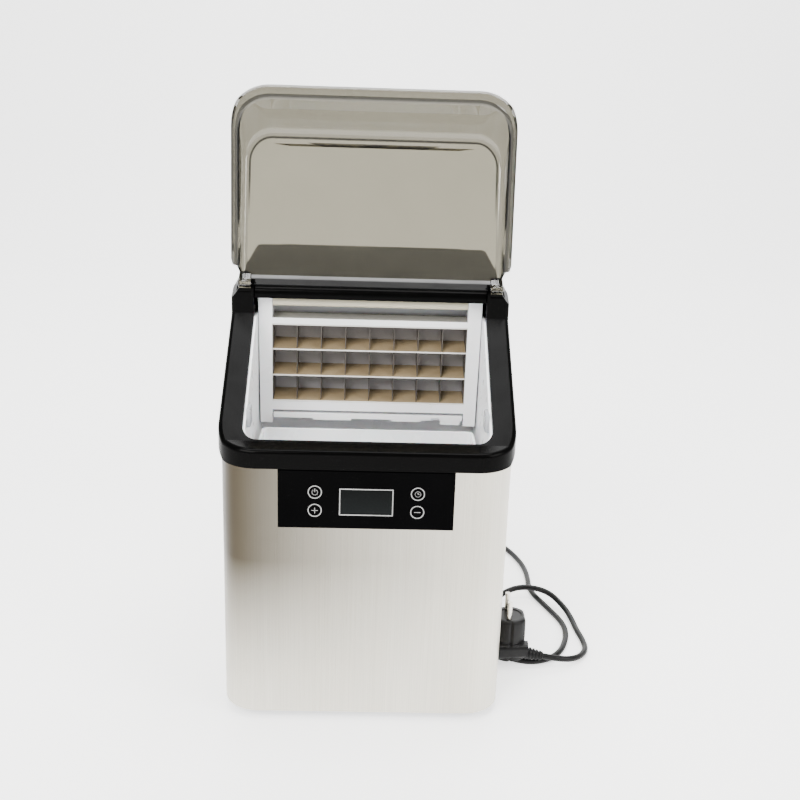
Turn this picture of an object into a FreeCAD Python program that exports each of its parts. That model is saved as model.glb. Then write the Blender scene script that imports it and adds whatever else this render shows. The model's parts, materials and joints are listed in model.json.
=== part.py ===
"""Countertop clear-ice maker: steel-wrapped cabinet, smoke lid open, ice basket, evaporator and machinery.

Origin: centre of the footprint, on the surface that the feet stand on. +Z up, -Y is the front. Millimetres.
Each function returns the solid or the group of solids of one node.
"""

import FreeCAD, Part
import math
import os
from FreeCAD import Vector

# ---- Driving dimensions -------------------------------------------------------------------------------
depth = 358.0
frame_width = 252.0
wrap_width = 247.0
foot_height = 8.0
sheet = 1.0
gap = 0.3

front = -depth / 2
back = depth / 2
frame_half = frame_width / 2
wrap_half = wrap_width / 2
wrap_front = front + 3.0
wrap_back = back - 7.0
wrap_bottom = foot_height
wrap_corner = 32.0
frame_corner = 34.0
rear_corner = 8.0

# Side profile of the top frame: skirt, front strip, sloping seat, deck.
skirt_low = 240.0
strip_front = 256.0
strip_back = 258.8
strip_depth = 16.0
seat_end_y = -50.0
seat_end_z = 340.0
deck_z = 362.5
skirt_band = 20.0
frame_skin = 2.3
frame_round = 4.0

# Opening in the frame, and the white liner that hangs in it.
opening_half = 105.5
opening_front = -162.0
opening_corner = 13.0
lip = 2.5
liner_half = opening_half - gap
liner_wall = 2.0
liner_floor_z = 92.0
liner_back = -2.0

# Rear top cover.
cover_top = 364.0
cover_half = 116.5
cover_front = -46.0
cover_neck_y = -33.0
cover_back = 171.0

# Lid, described closed and then turned open about its hinge.
hinge_y = -41.0
hinge_z = 364.5
lid_open = 132.3
lid_half = 125.0
lid_wall = 3.0
lid_rear = (-49.5, 367.6)
lid_crease = (-171.0, 306.0)
lid_front_z = 257.2
lid_cut_y = -51.0
pin_radius = 2.0
tab_inner = 109.0
tab_outer = 120.0

# Evaporator: eight by three cells behind a white frame.
cell_columns = 8
cell_rows = 3
cell_pitch = 22.5
row_pitch = 25.0
grid_low = 252.0
grid_half = cell_columns * cell_pitch / 2
grid_top = grid_low + cell_rows * row_pitch
frame_face_y = -36.0
plate_y = -14.0
cell_slope = math.tan(math.radians(15))
fin_thick = 0.7

# Control panel and its four buttons.
panel_half = 73.7
panel_low = 187.0
panel_high = 239.0
panel_face = wrap_front - 1.5
button_x = 42.8
button_z = (220.0, 203.6)
button_radius = 4.8
ring_inner = 5.1
ring_outer = 5.85
display_z = 211.5
display_half = 22.5
display_rise = 12.0
bezel_width = 0.85

# Basket.
basket_half = 98.0
basket_front = -150.0
basket_back = -56.0
basket_low = 121.0
basket_high = 232.6
basket_wall = 2.0

# Machinery.
compressor_x = 58.0
compressor_y = 72.0
compressor_radius = 52.0
compressor_wall = 3.0
bolt_reach = 42.0
bolt_hole = 3.2
stub_top = 172.0
stub_offsets = ((-24, 0), (0, 28), (24, 0))
pump_x = -80.0
pump_y = -45.0
hose_z = 347.0
fan_x = -67.0
fan_z = 91.0
fan_radius = 39.0
fan_blades = 7
fin_count = 14
fin_pitch = 4.8
tube_pitch = 24.0
tube_low = 62.0
coil_y = 148.5
rear_panel_y = wrap_back + 0.2
rear_panel_thick = 3.0
rear_face = rear_panel_y + rear_panel_thick

# Drain and mains cord.
drain_x = 111.0
drain_z = 60.0
sump_x = 60.0
sump_y = -60.0
cord_radius = 3.0
cord_exit_x = -92.0
cord_exit_z = 21.0
relief_length = 34.0


# ---- Helpers ------------------------------------------------------------------------------------------
def block(x0, x1, y0, y1, z0, z1):
    return Part.makeBox(x1 - x0, y1 - y0, z1 - z0, Vector(x0, y0, z0))


def rod(radius, start, end):
    a, b = Vector(*start), Vector(*end)
    return Part.makeCylinder(radius, (b - a).Length, a, b - a)


def side_prism(points, x0, x1):
    """A (y, z) outline carried from x0 to x1."""
    corners = [Vector(x0, y, z) for y, z in points]
    return Part.Face(Part.makePolygon(corners + corners[:1])).extrude(Vector(x1 - x0, 0, 0))


def front_prism(points, y0, y1):
    """An (x, z) outline carried from y0 to y1."""
    corners = [Vector(x, y0, z) for x, z in points]
    return Part.Face(Part.makePolygon(corners + corners[:1])).extrude(Vector(0, y1 - y0, 0))


def rounded(half, y0, y1, z0, z1, front_corner, back_corner):
    """A block with upright rounded corners, one radius at the front and one at the back."""
    solid = block(-half, half, y0, y1, z0, z1)

    def uprights(shape, y):
        return [
            e for e in shape.Edges
            if abs(e.Vertexes[0].Z - e.Vertexes[-1].Z) > 1 and abs(e.Vertexes[0].Y - y) < 1e-6
        ]

    if front_corner:
        solid = solid.makeFillet(front_corner, uprights(solid, y0))
    if back_corner:
        solid = solid.makeFillet(back_corner, uprights(solid, y1))
    return solid


def fuse(shapes):
    whole = shapes[0].multiFuse(shapes[1:]) if len(shapes) > 1 else shapes[0]
    return whole.removeSplitter()


def tube(points, radius, bends):
    """A round bar along straight runs joined by tangent arcs; bends is one radius or one per corner."""
    points = [Vector(*p) for p in points]
    if not isinstance(bends, (list, tuple)):
        bends = [bends] * (len(points) - 2)
    edges = []
    here = points[0]
    for before, corner, after, bend in zip(points, points[1:], points[2:], bends):
        into = (corner - before).normalize()
        out = (after - corner).normalize()
        half_turn = into.getAngle(out) / 2
        reach = bend * math.tan(half_turn)
        start = corner - into * reach
        end = corner + out * reach
        middle = corner + (out - into).normalize() * (bend / math.cos(half_turn) - bend)
        if (start - here).Length > 1e-4:
            edges.append(Part.LineSegment(here, start).toShape())
        edges.append(Part.Arc(start, middle, end).toShape())
        here = end
    if (points[-1] - here).Length > 1e-4:
        edges.append(Part.LineSegment(here, points[-1]).toShape())
    ring = Part.Wire(Part.makeCircle(radius, points[0], points[1] - points[0]))
    return Part.Wire(edges).makePipeShell([ring], True, False)


def revolved(outline, x, y):
    """A (radius, z) outline turned about an upright axis."""
    corners = [Vector(x + r, y, z) for r, z in outline]
    face = Part.Face(Part.makePolygon(corners + corners[:1]))
    return face.revolve(Vector(x, y, 0), Vector(0, 0, 1), 360)


# ---- Cabinet ------------------------------------------------------------------------------------------
strip_back_y = front + strip_depth
seat_rise = (seat_end_z - strip_back) / (seat_end_y - strip_back_y)


def seat_z(y):
    """Height of the sloping seat at a depth y."""
    return strip_back + (y - strip_back_y) * seat_rise


def frame_block(inset, sink):
    """The frame's outer form, drawn in by inset at the sides and lowered by sink on top."""
    low_end = seat_z(seat_end_y) - skirt_band
    outline = [
        (front + inset, skirt_low),
        (front + inset, strip_front - sink),
        (strip_back_y, strip_back - sink),
        (seat_end_y + inset * 0.8, seat_end_z - sink),
        (seat_end_y + inset, deck_z - sink),
        (back - inset, deck_z - sink),
        (back - inset, low_end),
        (seat_end_y, low_end),
        (strip_back_y, skirt_low + 1.0),
    ]
    form = side_prism(outline, inset - frame_half, frame_half - inset)
    plan = rounded(
        frame_half - inset, front + inset, back - inset,
        skirt_low - 1, deck_z + 1, frame_corner - inset, rear_corner - inset,
    )
    return form.common(plan)


def opening_prism(grow):
    """The space through the frame: basket and evaporator in front, machinery access behind."""
    low, high = skirt_low - 20, deck_z + 20
    mouth = rounded(
        opening_half + grow, opening_front - grow, cover_neck_y + grow, low, high, opening_corner + grow, 0
    )
    access = rounded(cover_half - 4 + grow, cover_neck_y - grow, cover_back - 6 + grow, low, high, 0, 26)
    return mouth.fuse(access)


def is_top_outline(edge):
    """True for the edges where the frame's top meets its outer walls."""
    box = edge.BoundBox
    across = box.YLength < 0.1 and box.ZLength < 0.1
    if box.ZMin < strip_front - 0.1:
        return False
    if across:
        return box.YMax < front + 1 or box.ZMin > deck_z - 0.1
    upright = box.XLength < 0.1 and box.YLength < 0.1
    return not (upright and box.YMin > 0)


def top_frame():
    """Black one-piece frame: skirt, front strip, sloping seats, hinge towers and deck border."""
    outer = frame_block(0, 0)
    shell = outer.makeFillet(frame_round, [e for e in outer.Edges if is_top_outline(e)])
    hollow = frame_block(frame_skin, frame_skin)
    shell = shell.cut(hollow.fuse(hollow.translated(Vector(0, 0, -frame_skin * 3))))
    lip_low = [
        (opening_front - 10, strip_back - 12),
        (strip_back_y, strip_back - 12),
        (seat_end_y, seat_end_z - 12),
        (cover_neck_y + 6, seat_end_z - 12),
        (cover_neck_y + 6, deck_z - 10),
        (back - 5, deck_z - 10),
    ]
    lip_high = [
        (back - 5, deck_z),
        (seat_end_y, deck_z),
        (seat_end_y, seat_end_z),
        (strip_back_y, strip_back),
        (opening_front - 10, strip_back - 1),
    ]
    band = side_prism(lip_low + lip_high, -frame_half, frame_half)
    shell = shell.fuse(opening_prism(lip).common(band))
    for side in (-1, 1):
        shell = shell.fuse(tower_ear(side))
    shell = shell.cut(opening_prism(0))
    for side in (-1, 1):
        shell = shell.cut(tower_pocket(side))
        shell = shell.cut(tower_chamfer(side))
    return shell.removeSplitter()


def mirrored(low, high, side):
    return (low, high) if side > 0 else (-high, -low)


def tower_ear(side):
    """The upright ear that carries a hinge pin, and the solid top of the tower beside it."""
    x0, x1 = mirrored(opening_half, tab_inner - 0.5, side)
    ear = block(x0, x1, hinge_y - 5, hinge_y + 5, seat_end_z, hinge_z)
    ear = ear.fuse(rod(5.0, (x0, hinge_y, hinge_z), (x1, hinge_y, hinge_z)))
    ear = ear.cut(rod(pin_radius, (x0 - 1, hinge_y, hinge_z), (x1 + 1, hinge_y, hinge_z)))
    x0, x1 = mirrored(opening_half, frame_half - 2, side)
    top = block(x0, x1, seat_end_y + 0.5, hinge_y + 9, deck_z - 8, deck_z)
    return ear.fuse(top)


def tower_pocket(side):
    """Room for the lid's tab to turn."""
    x0, x1 = mirrored(tab_inner - 0.5, tab_outer + 1.5, side)
    return block(x0, x1, hinge_y - 7.0, hinge_y + 6.5, hinge_z - 5.6, deck_z + 10)


def tower_chamfer(side):
    """The cut that takes off a tower's outer front top corner."""
    reach = 60.0
    a = Vector(side * frame_half, seat_end_y, deck_z - 10.5)
    b = Vector(side * (frame_half - 7.5), seat_end_y, deck_z)
    c = Vector(side * frame_half, seat_end_y + 28, deck_z)
    normal = (b - a).cross(c - a) * side
    if normal.z < 0:
        normal = normal * -1
    slab = Part.makeBox(reach, reach, reach, Vector(-reach / 2, -reach / 2, 0))
    turn = FreeCAD.Rotation(Vector(0, 0, 1), normal)
    slab.Placement = FreeCAD.Placement((a + b + c) * (1 / 3), turn).multiply(slab.Placement)
    x0, x1 = mirrored(frame_half - 12, frame_half + 5, side)
    return slab.common(block(x0, x1, seat_end_y - 5, seat_end_y + 32, deck_z - 14, deck_z + 5))


def steel_wrap():
    """Stainless front and sides in one bent sheet; its side edges follow the frame's skirt."""
    tuck = 6.0
    low_end = seat_z(seat_end_y) - skirt_band
    outline = [
        (wrap_front - 1, wrap_bottom),
        (wrap_front - 1, skirt_low + tuck),
        (strip_back_y, skirt_low + tuck),
        (seat_end_y, low_end + tuck),
        (wrap_back, low_end + tuck),
        (wrap_back, wrap_bottom),
    ]
    outer = rounded(wrap_half, wrap_front, wrap_back, wrap_bottom, deck_z, wrap_corner, 0)
    inner = rounded(
        wrap_half - sheet, wrap_front + sheet, wrap_back + 10,
        wrap_bottom - 1, deck_z + 1, wrap_corner - sheet, 0,
    )
    window = block(
        -panel_half + 3.4, panel_half - 3.4, wrap_front - 5, wrap_front + 5, panel_low + 2.8, panel_high - 2.8
    )
    return outer.cut(inner).common(side_prism(outline, -frame_half, frame_half)).cut(window)


def base_pan():
    """Pressed base with a low upturned edge inside the wrap."""
    half = wrap_half - sheet - gap
    y0, y1 = wrap_front + sheet + gap, wrap_back - 0.5
    corner = wrap_corner - sheet - gap
    tray = rounded(half, y0, y1, wrap_bottom, wrap_bottom + 16, corner, 0)
    well = rounded(half - 1.4, y0 + 1.4, y1 - 1.4, wrap_bottom + 2, wrap_bottom + 20, corner - 1.4, 0)
    cord_notch = rod(7.0, (cord_exit_x, y1 - 5, cord_exit_z), (cord_exit_x, y1 + 1, cord_exit_z))
    return tray.cut(well).cut(cord_notch)


def feet():
    """Four rubber feet."""
    pads = []
    for x in (-92.0, 92.0):
        for y in (-140.0, 140.0):
            pads.append(Part.makeCone(11.0, 13.0, foot_height, Vector(x, y, 0)))
    return Part.makeCompound(pads)


def rear_panel():
    """Rear panel with air slots for the condenser and the compressor, and holes for drain and cord."""
    skirt_end = seat_z(seat_end_y) - skirt_band
    half = wrap_half - 0.4
    plate = block(-half, half, rear_panel_y, rear_face, wrap_bottom + 1.5, skirt_end - 0.2)
    tongue = block(-112, 112, rear_panel_y, rear_face, skirt_end - 10, skirt_end + 8)
    plate = plate.fuse(tongue).removeSplitter()
    slots = []
    for row in range(11):
        z = 42.0 + row * 9.5
        slots.append(block(-108, -26, rear_panel_y - 1, rear_face + 1, z, z + 4.5))
        slots.append(block(10, 92, rear_panel_y - 1, rear_face + 1, z, z + 4.5))
    for radius, x, z in ((5.6, drain_x, drain_z), (5.0, cord_exit_x, cord_exit_z)):
        slots.append(rod(radius, (x, rear_panel_y - 1, z), (x, rear_face + 1, z)))
    return plate.cut(Part.makeCompound(slots))


def rear_screws():
    """Pan-head screws round the rear panel."""
    places = [(x, z) for z in (92.0, 190.0, 305.0) for x in (-117.0, 117.0)]
    places += [(x, 26.0) for x in (-45.0, 0.0, 45.0)]
    return Part.makeCompound([
        Part.makeCone(3.6, 2.4, 1.6, Vector(x, rear_face, z), Vector(0, 1, 0)) for x, z in places
    ])


def rear_top_cover():
    """Shallow rounded cover over the machinery, with a neck between the hinge towers."""
    plate = rounded(cover_half, cover_neck_y + 2.5, cover_back, deck_z + 0.1, cover_top, 4, 30)
    neck_half = opening_half - 0.6
    neck = block(-neck_half, neck_half, cover_front, cover_neck_y + 6, cover_top - 11.0, cover_top)
    edge = [
        e for e in neck.Edges
        if all(abs(v.Y - cover_front) < 1e-6 and abs(v.Z - cover_top) < 1e-6 for v in e.Vertexes)
    ]
    neck = neck.makeFillet(7.5, edge)
    hollow = block(
        -neck_half + 2, neck_half - 2, cover_front + 2.5, cover_neck_y + 10, cover_top - 20, cover_top - 8
    )
    rib = rounded(cover_half - 4.5, cover_neck_y + 3, cover_back - 6.6, deck_z - 6, deck_z + 0.5, 0, 25)
    rib = rib.cut(rounded(cover_half - 6.5, cover_neck_y, cover_back - 8.6, deck_z - 8, deck_z + 0.1, 0, 23))
    return fuse([plate, neck.cut(hollow), rib])


# ---- Lid ----------------------------------------------------------------------------------------------
def lid_form(inset):
    """The hood as closed, filled; inset draws in every wall for the hollow."""
    drop = inset * 1.2
    reach = 30.0 if inset else 0.0
    outline = [
        (lid_rear[0] + inset, lid_rear[1] - drop),
        (lid_crease[0] + inset, lid_crease[1] - drop),
        (front + inset, lid_front_z - reach),
        (strip_back_y, seat_z(strip_back_y) + 0.6 - reach),
        (lid_cut_y + inset, seat_z(lid_cut_y) + 0.6 - reach),
    ]
    if not inset:
        outline.append((lid_cut_y, lid_rear[1] - 3.6))
        outline.append((lid_rear[0], lid_rear[1] - 2.9))
    form = side_prism(outline, inset - lid_half, lid_half - inset)
    plan = rounded(
        lid_half - inset, front + inset, 0, strip_front - 60, lid_rear[1] + 5, frame_corner - 1 - inset, 0
    )
    return form.common(plan)


def lid():
    """Smoke see-through hood with two hinge tabs, turned to its open stop."""
    hood = lid_form(0)
    ridge = [
        e for e in hood.Edges
        if abs(abs(e.CenterOfMass.x) - lid_half) < 1e-3
        and e.BoundBox.YLength > 40 and e.BoundBox.ZMax > lid_rear[1] - 0.1
    ]
    hood = hood.makeFillet(5.0, ridge)
    hood = hood.cut(lid_form(lid_wall))
    for side in (-1, 1):
        x0, x1 = mirrored(tab_inner, tab_outer, side)
        web = side_prism(
            [
                (lid_rear[0] - 2.0, lid_rear[1] - 2.0),
                (lid_rear[0] - 3.2, lid_rear[1] - 3.2),
                (hinge_y - 3.5, hinge_z - 2.9),
                (hinge_y + 3, hinge_z + 1.5),
                (hinge_y, hinge_z + 4.6),
                (lid_rear[0] - 0.5, lid_rear[1] - 0.2),
            ],
            x0, x1,
        )
        boss = rod(4.6, (x0, hinge_y, hinge_z), (x1, hinge_y, hinge_z))
        hood = hood.fuse(web).fuse(boss)
    for side in (-1, 1):
        x0, x1 = mirrored(tab_inner - 5, tab_outer + 0.1, side)
        hood = hood.cut(rod(pin_radius + 0.06, (x0, hinge_y, hinge_z), (x1, hinge_y, hinge_z)))
    hood = hood.removeSplitter()
    return hood.rotated(Vector(0, hinge_y, hinge_z), Vector(1, 0, 0), -lid_open)


def lid_hinge_pins():
    """Two steel pins held in the ears; the lid's tabs turn on them."""
    pins = []
    for side in (-1, 1):
        x0, x1 = mirrored(opening_half + 0.2, tab_outer - 0.8, side)
        pins.append(rod(pin_radius, (x0, hinge_y, hinge_z), (x1, hinge_y, hinge_z)))
    return Part.makeCompound(pins)


# ---- Controls -----------------------------------------------------------------------------------------
def button_places():
    return {
        "power_button": (-button_x, button_z[0]),
        "plus_button": (-button_x, button_z[1]),
        "timer_button": (button_x, button_z[0]),
        "minus_button": (button_x, button_z[1]),
    }


def control_panel():
    """Black panel on the steel front, with a spigot through it, a display window and four round holes."""
    face = block(-panel_half, panel_half, panel_face, wrap_front - 0.05, panel_low, panel_high)
    rim = [e for e in face.Edges if all(abs(v.Y - panel_face) < 1e-6 for v in e.Vertexes)]
    face = face.makeChamfer(0.6, rim)
    spigot = block(
        -panel_half + 3.7, panel_half - 3.7, wrap_front - 0.1, wrap_front + 3,
        panel_low + 3.1, panel_high - 3.1,
    )
    solid = face.fuse(spigot)
    solid = solid.cut(block(
        -display_half - 0.1, display_half + 0.1, panel_face - 1, wrap_front + 4,
        display_z - display_rise - 0.1, display_z + display_rise + 0.1,
    ))
    for x, z in button_places().values():
        solid = solid.cut(rod(ring_outer + 0.05, (x, panel_face - 1, z), (x, wrap_front + 4, z)))
    return solid.removeSplitter()


def display_bezel():
    """Silver frame round the display."""
    y0, y1 = panel_face - 0.5, wrap_front + 1.0
    outer = block(-display_half, display_half, y0, y1, display_z - display_rise, display_z + display_rise)
    inner = block(
        -display_half + bezel_width, display_half - bezel_width, y0 - 1, y1 + 1,
        display_z - display_rise + bezel_width, display_z + display_rise - bezel_width,
    )
    return outer.cut(inner)


def lcd_screen():
    inset = bezel_width + 0.1
    return block(
        -display_half + inset, display_half - inset, panel_face + 0.2, wrap_front + 2.0,
        display_z - display_rise + inset, display_z + display_rise - inset,
    )


def button_rings():
    """Four silver rings that frame the buttons."""
    rings = []
    for x, z in button_places().values():
        ring = rod(ring_outer, (x, panel_face - 0.7, z), (x, wrap_front + 1.5, z))
        rings.append(ring.cut(rod(ring_inner, (x, panel_face - 2, z), (x, wrap_front + 3, z))))
    return Part.makeCompound(rings)


def push_button(x, z):
    """A domed cap with a stem towards its switch."""
    cap = rod(button_radius, (x, panel_face - 0.9, z), (x, wrap_front + 2.0, z))
    edge = [e for e in cap.Edges if abs(e.CenterOfMass.y - panel_face + 0.9) < 1e-6 and e.Closed]
    cap = cap.makeFillet(0.6, edge[:1])
    return cap.fuse(rod(1.5, (x, wrap_front + 2.0, z), (x, wrap_front + 4.6, z))).removeSplitter()


def tactile_switches():
    """Four switches on the board, one behind each button."""
    switches = []
    for x, z in button_places().values():
        body = block(x - 3, x + 3, wrap_front + 7.0, wrap_front + 10.0, z - 3, z + 3)
        switches.append(body.fuse(rod(1.7, (x, wrap_front + 6.0, z), (x, wrap_front + 7.0, z))))
    return Part.makeCompound(switches)


def control_board():
    """Circuit board behind the panel, with two chips and a connector."""
    y = wrap_front + 10.0
    board = block(-66, 66, y, y + 1.6, panel_low + 4, panel_high - 3)
    chips = [
        block(-22, -8, y + 1.6, y + 3.4, 196, 206),
        block(6, 14, y + 1.6, y + 3.4, 196, 204),
        block(24, 40, y + 1.6, y + 3.8, 194, 200),
    ]
    return fuse([board] + chips)


# ---- Ice compartment ----------------------------------------------------------------------------------
def inner_tank():
    """White liner: walls that end just under the frame's seats, a floor with a sump, and basket ledges."""
    outline = [
        (opening_front + gap, liner_floor_z),
        (opening_front + gap, seat_z(opening_front) - 3.4),
        (seat_end_y - 0.6, seat_z(seat_end_y) - 3.4),
        (liner_back, seat_z(seat_end_y) - 3.4),
        (liner_back, liner_floor_z),
    ]
    form = side_prism(outline, -liner_half, liner_half)
    plan = rounded(
        liner_half, opening_front + gap, liner_back, liner_floor_z - 1, deck_z, opening_corner - gap, 0
    )
    form = form.common(plan)
    hollow = rounded(
        liner_half - liner_wall, opening_front + gap + liner_wall, liner_back - liner_wall,
        liner_floor_z + liner_wall, deck_z + 5, opening_corner - gap - liner_wall, 0,
    )
    shell = form.cut(hollow)
    ledges = []
    for side in (-1, 1):
        x0, x1 = mirrored(basket_half - 6, liner_half - 1, side)
        ledges.append(block(x0, x1, basket_front + 8, basket_back - 8, basket_low - 8, basket_low - 0.3))
    shell = fuse([shell] + ledges)
    window = block(-97, 97, liner_back - 5, liner_back + 1, grid_low - 6, grid_top - 2)
    pump_hole = rod(9.0, (pump_x, pump_y, liner_floor_z - 1), (pump_x, pump_y, liner_floor_z + 5))
    drain_hole = rod(4.0, (sump_x, sump_y, liner_floor_z - 1), (sump_x, sump_y, liner_floor_z + 5))
    return shell.cut(Part.makeCompound([window, pump_hole, drain_hole]))


def ice_basket():
    """Basket with drain slots in its floor and front, and a shallow pull recess in its rear wall."""
    outer = rounded(basket_half, basket_front, basket_back, basket_low, basket_high, 14, 6)
    inner = rounded(
        basket_half - basket_wall, basket_front + basket_wall, basket_back - basket_wall,
        basket_low + basket_wall, basket_high + 5, 12, 4,
    )
    recess_y = basket_back - basket_wall
    cuts = [inner, block(-18.5, 18.5, recess_y - 1, recess_y + 0.9, basket_low + 40, basket_high + 2)]
    for column in range(13):
        x = -84.0 + column * 14
        for row in range(3):
            y = basket_front + 14 + row * 25
            cuts.append(block(x - 3, x + 3, y, y + 16, basket_low - 1, basket_low + 3))
    for column in range(9):
        x = -72.0 + column * 18
        cuts.append(block(x - 3, x + 3, basket_front - 2, basket_front + 4, basket_low + 16, basket_low + 46))
    return outer.cut(Part.makeCompound(cuts))


def evaporator_frame():
    """White frame round the cells: two posts that taper downward, two crossbars, and side feet."""
    outline = [(-101.4, 231.0), (101.4, 231.0), (102.8, 351.0), (-102.8, 351.0)]
    plate = front_prism(outline, frame_face_y, frame_face_y + 12)
    window = grid_half + 0.2
    cuts = [
        block(-window, window, frame_face_y - 1, frame_face_y + 14, grid_top + 5.5, 360),
        block(-window, window, frame_face_y - 1, frame_face_y + 14, grid_low - 0.2, grid_top + 0.2),
        block(-window, window, frame_face_y - 1, frame_face_y + 14, 220, grid_low - 8.4),
        block(-window, window, frame_face_y + 1.5, frame_face_y + 14, grid_top - 1, grid_top + 6),
    ]
    plate = plate.cut(Part.makeCompound(cuts))
    feet_blocks = []
    for side in (-1, 1):
        x0, x1 = mirrored(grid_half + 1, 101.5, side)
        feet_blocks.append(block(x0, x1, frame_face_y + 11, liner_back - liner_wall - 0.3, 236, 246))
        feet_blocks.append(block(x0, x1, frame_face_y + 11, liner_back - liner_wall - 0.3, 331, 336))
    return fuse([plate] + feet_blocks)


def evaporator_grid():
    """Cell plate: back plate, upright fins and floors that slope down towards the front."""
    z_back = (plate_y - frame_face_y) * cell_slope
    plate = block(-grid_half, grid_half, plate_y, plate_y + 1.6, grid_low, grid_top + z_back)
    members = [plate]
    for column in range(cell_columns + 1):
        x = -grid_half + column * cell_pitch
        x0 = min(max(x - fin_thick / 2, -grid_half), grid_half - fin_thick)
        members.append(block(x0, x0 + fin_thick, frame_face_y + 2.0, plate_y + 0.5, grid_low, grid_top))
    for row in range(cell_rows + 1):
        z = min(grid_low + row * row_pitch, grid_top - 1.2)
        floor = side_prism(
            [
                (frame_face_y + 0.6, z),
                (plate_y + 0.5, z + z_back),
                (plate_y + 0.5, z + z_back + 1.2),
                (frame_face_y + 0.6, z + 1.2),
            ],
            -grid_half, grid_half,
        )
        members.append(floor)
    return fuse(members)


def evaporator_coil():
    """Copper coil behind the cell plate: three passes with return bends."""
    y = plate_y + 1.6 + 3.6
    lines = [
        (92, 14, 262), (92, y, 262), (-81, y, 262), (-81, y, 284),
        (81, y, 284), (81, y, 306), (-92, y, 306), (-92, 14, 306),
    ]
    return tube(lines, 3.5, 10.99)


def water_distributor():
    """Cream spray tube over the cells, with spray holes and a hose stub behind."""
    y = frame_face_y + 6
    bar = rod(4.0, (-grid_half, y, hose_z), (grid_half, y, hose_z))
    stub = rod(3.0, (pump_x, y, hose_z), (pump_x, y + 16, hose_z))
    holes = []
    for column in range(cell_columns):
        x = -grid_half + (column + 0.5) * cell_pitch
        holes.append(rod(0.9, (x, y, hose_z - 5), (x, y, hose_z)))
    return bar.fuse(stub).cut(Part.makeCompound(holes))


def water_trough():
    """Chute under the cells that brings the water back to the tank."""
    lip_bar = block(-grid_half + 1, grid_half - 1, frame_face_y - 1.5, frame_face_y + 1.5, 236.5, 241)
    pan = side_prism(
        [
            (frame_face_y + 1, 236.5), (plate_y + 4, 243.5),
            (plate_y + 4, 245.5), (frame_face_y + 1, 238.5),
        ],
        -grid_half + 1, grid_half - 1,
    )
    bulges = []
    for x0, x1 in ((-52, -16), (22, 50)):
        bulges.append(block(x0, x1, frame_face_y - 1.5, frame_face_y + 1.0, 234.8, 237))
    tab = block(68.5, 87, frame_face_y - 1.3, frame_face_y + 0.6, 232.5, 237)
    notch = block(59.5, 68, frame_face_y - 2, frame_face_y + 0.6, 236, 238.8)
    return fuse([lip_bar, pan, tab] + bulges).cut(notch)


def ice_sensor(side):
    """Clear sensor lens on a liner wall."""
    x0, x1 = mirrored(liner_half - liner_wall - 3.6, liner_half - liner_wall - 0.05, side)
    body = block(x0, x1, -140, -125, 262, 278)
    near = x0 if side > 0 else x1
    edges = [e for e in body.Edges if all(abs(v.X - near) < 1e-6 for v in e.Vertexes)]
    return body.makeFillet(1.4, edges)


def water_level_sensor():
    """Float on a short stem in the sump."""
    x, y = 84.0, -120.0
    stem = rod(2.0, (x, y, liner_floor_z + liner_wall + 0.1), (x, y, 112))
    cap = rod(4.0, (x, y, 112), (x, y, 113.5))
    floater = rod(7.0, (x, y, 100), (x, y, 108)).cut(rod(2.3, (x, y, 99), (x, y, 109)))
    return Part.makeCompound([stem.fuse(cap), floater])


# ---- Water and refrigeration --------------------------------------------------------------------------
def water_pump():
    """Small pump under the tank, with an inlet collar and an outlet stub."""
    x, y = pump_x, pump_y
    body = rod(18.0, (x, y, 26), (x, y, 62))
    head = rod(22.0, (x, y, 62), (x, y, 74))
    inlet = rod(8.0, (x, y, 74), (x, y, liner_floor_z + 4))
    outlet = rod(4.0, (x, y, 68), (x, y + 34, 68))
    bracket = block(x - 20, x + 20, y - 12, y + 12, wrap_bottom + 2.1, 27)
    return fuse([body, head, inlet, outlet, bracket])


def pump_hose():
    """Hose from the pump, up behind the tank, to the spray tube."""
    lines = [
        (pump_x, pump_y + 34, 68), (pump_x, 12, 68),
        (pump_x, 12, hose_z), (pump_x, frame_face_y + 22, hose_z),
    ]
    return tube(lines, 4.6, 14)


def drain_hose():
    """Hose from the tank floor to the drain outlet at the rear."""
    side = drain_x + 6
    lines = [(sump_x, sump_y, liner_floor_z - 0.1), (sump_x, sump_y, drain_z), (side, sump_y, drain_z)]
    lines += [(side, 120, drain_z), (drain_x, 150, drain_z), (drain_x, rear_panel_y - 0.1, drain_z)]
    hose = tube(lines, 4.6, [12, 12, 30, 30])
    return hose.cut(rod(3.8, (drain_x, rear_panel_y - 14, drain_z), (drain_x, rear_panel_y + 1, drain_z)))


def drain_plug():
    """Rubber drain plug that pulls out of the rear panel."""
    x = drain_x
    cap = rod(9.0, (x, rear_face + 0.2, drain_z), (x, rear_face + 3.2, drain_z))
    edge = [e for e in cap.Edges if abs(e.CenterOfMass.y - rear_face - 3.2) < 1e-6 and e.Closed]
    cap = cap.makeFillet(1.0, edge[:1])
    return cap.fuse(rod(3.4, (x, rear_panel_y - 12, drain_z), (x, rear_face + 0.5, drain_z)))


def bolt_places():
    reaches = (-bolt_reach, bolt_reach)
    return [(compressor_x + dx, compressor_y + dy) for dx in reaches for dy in reaches]


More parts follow.
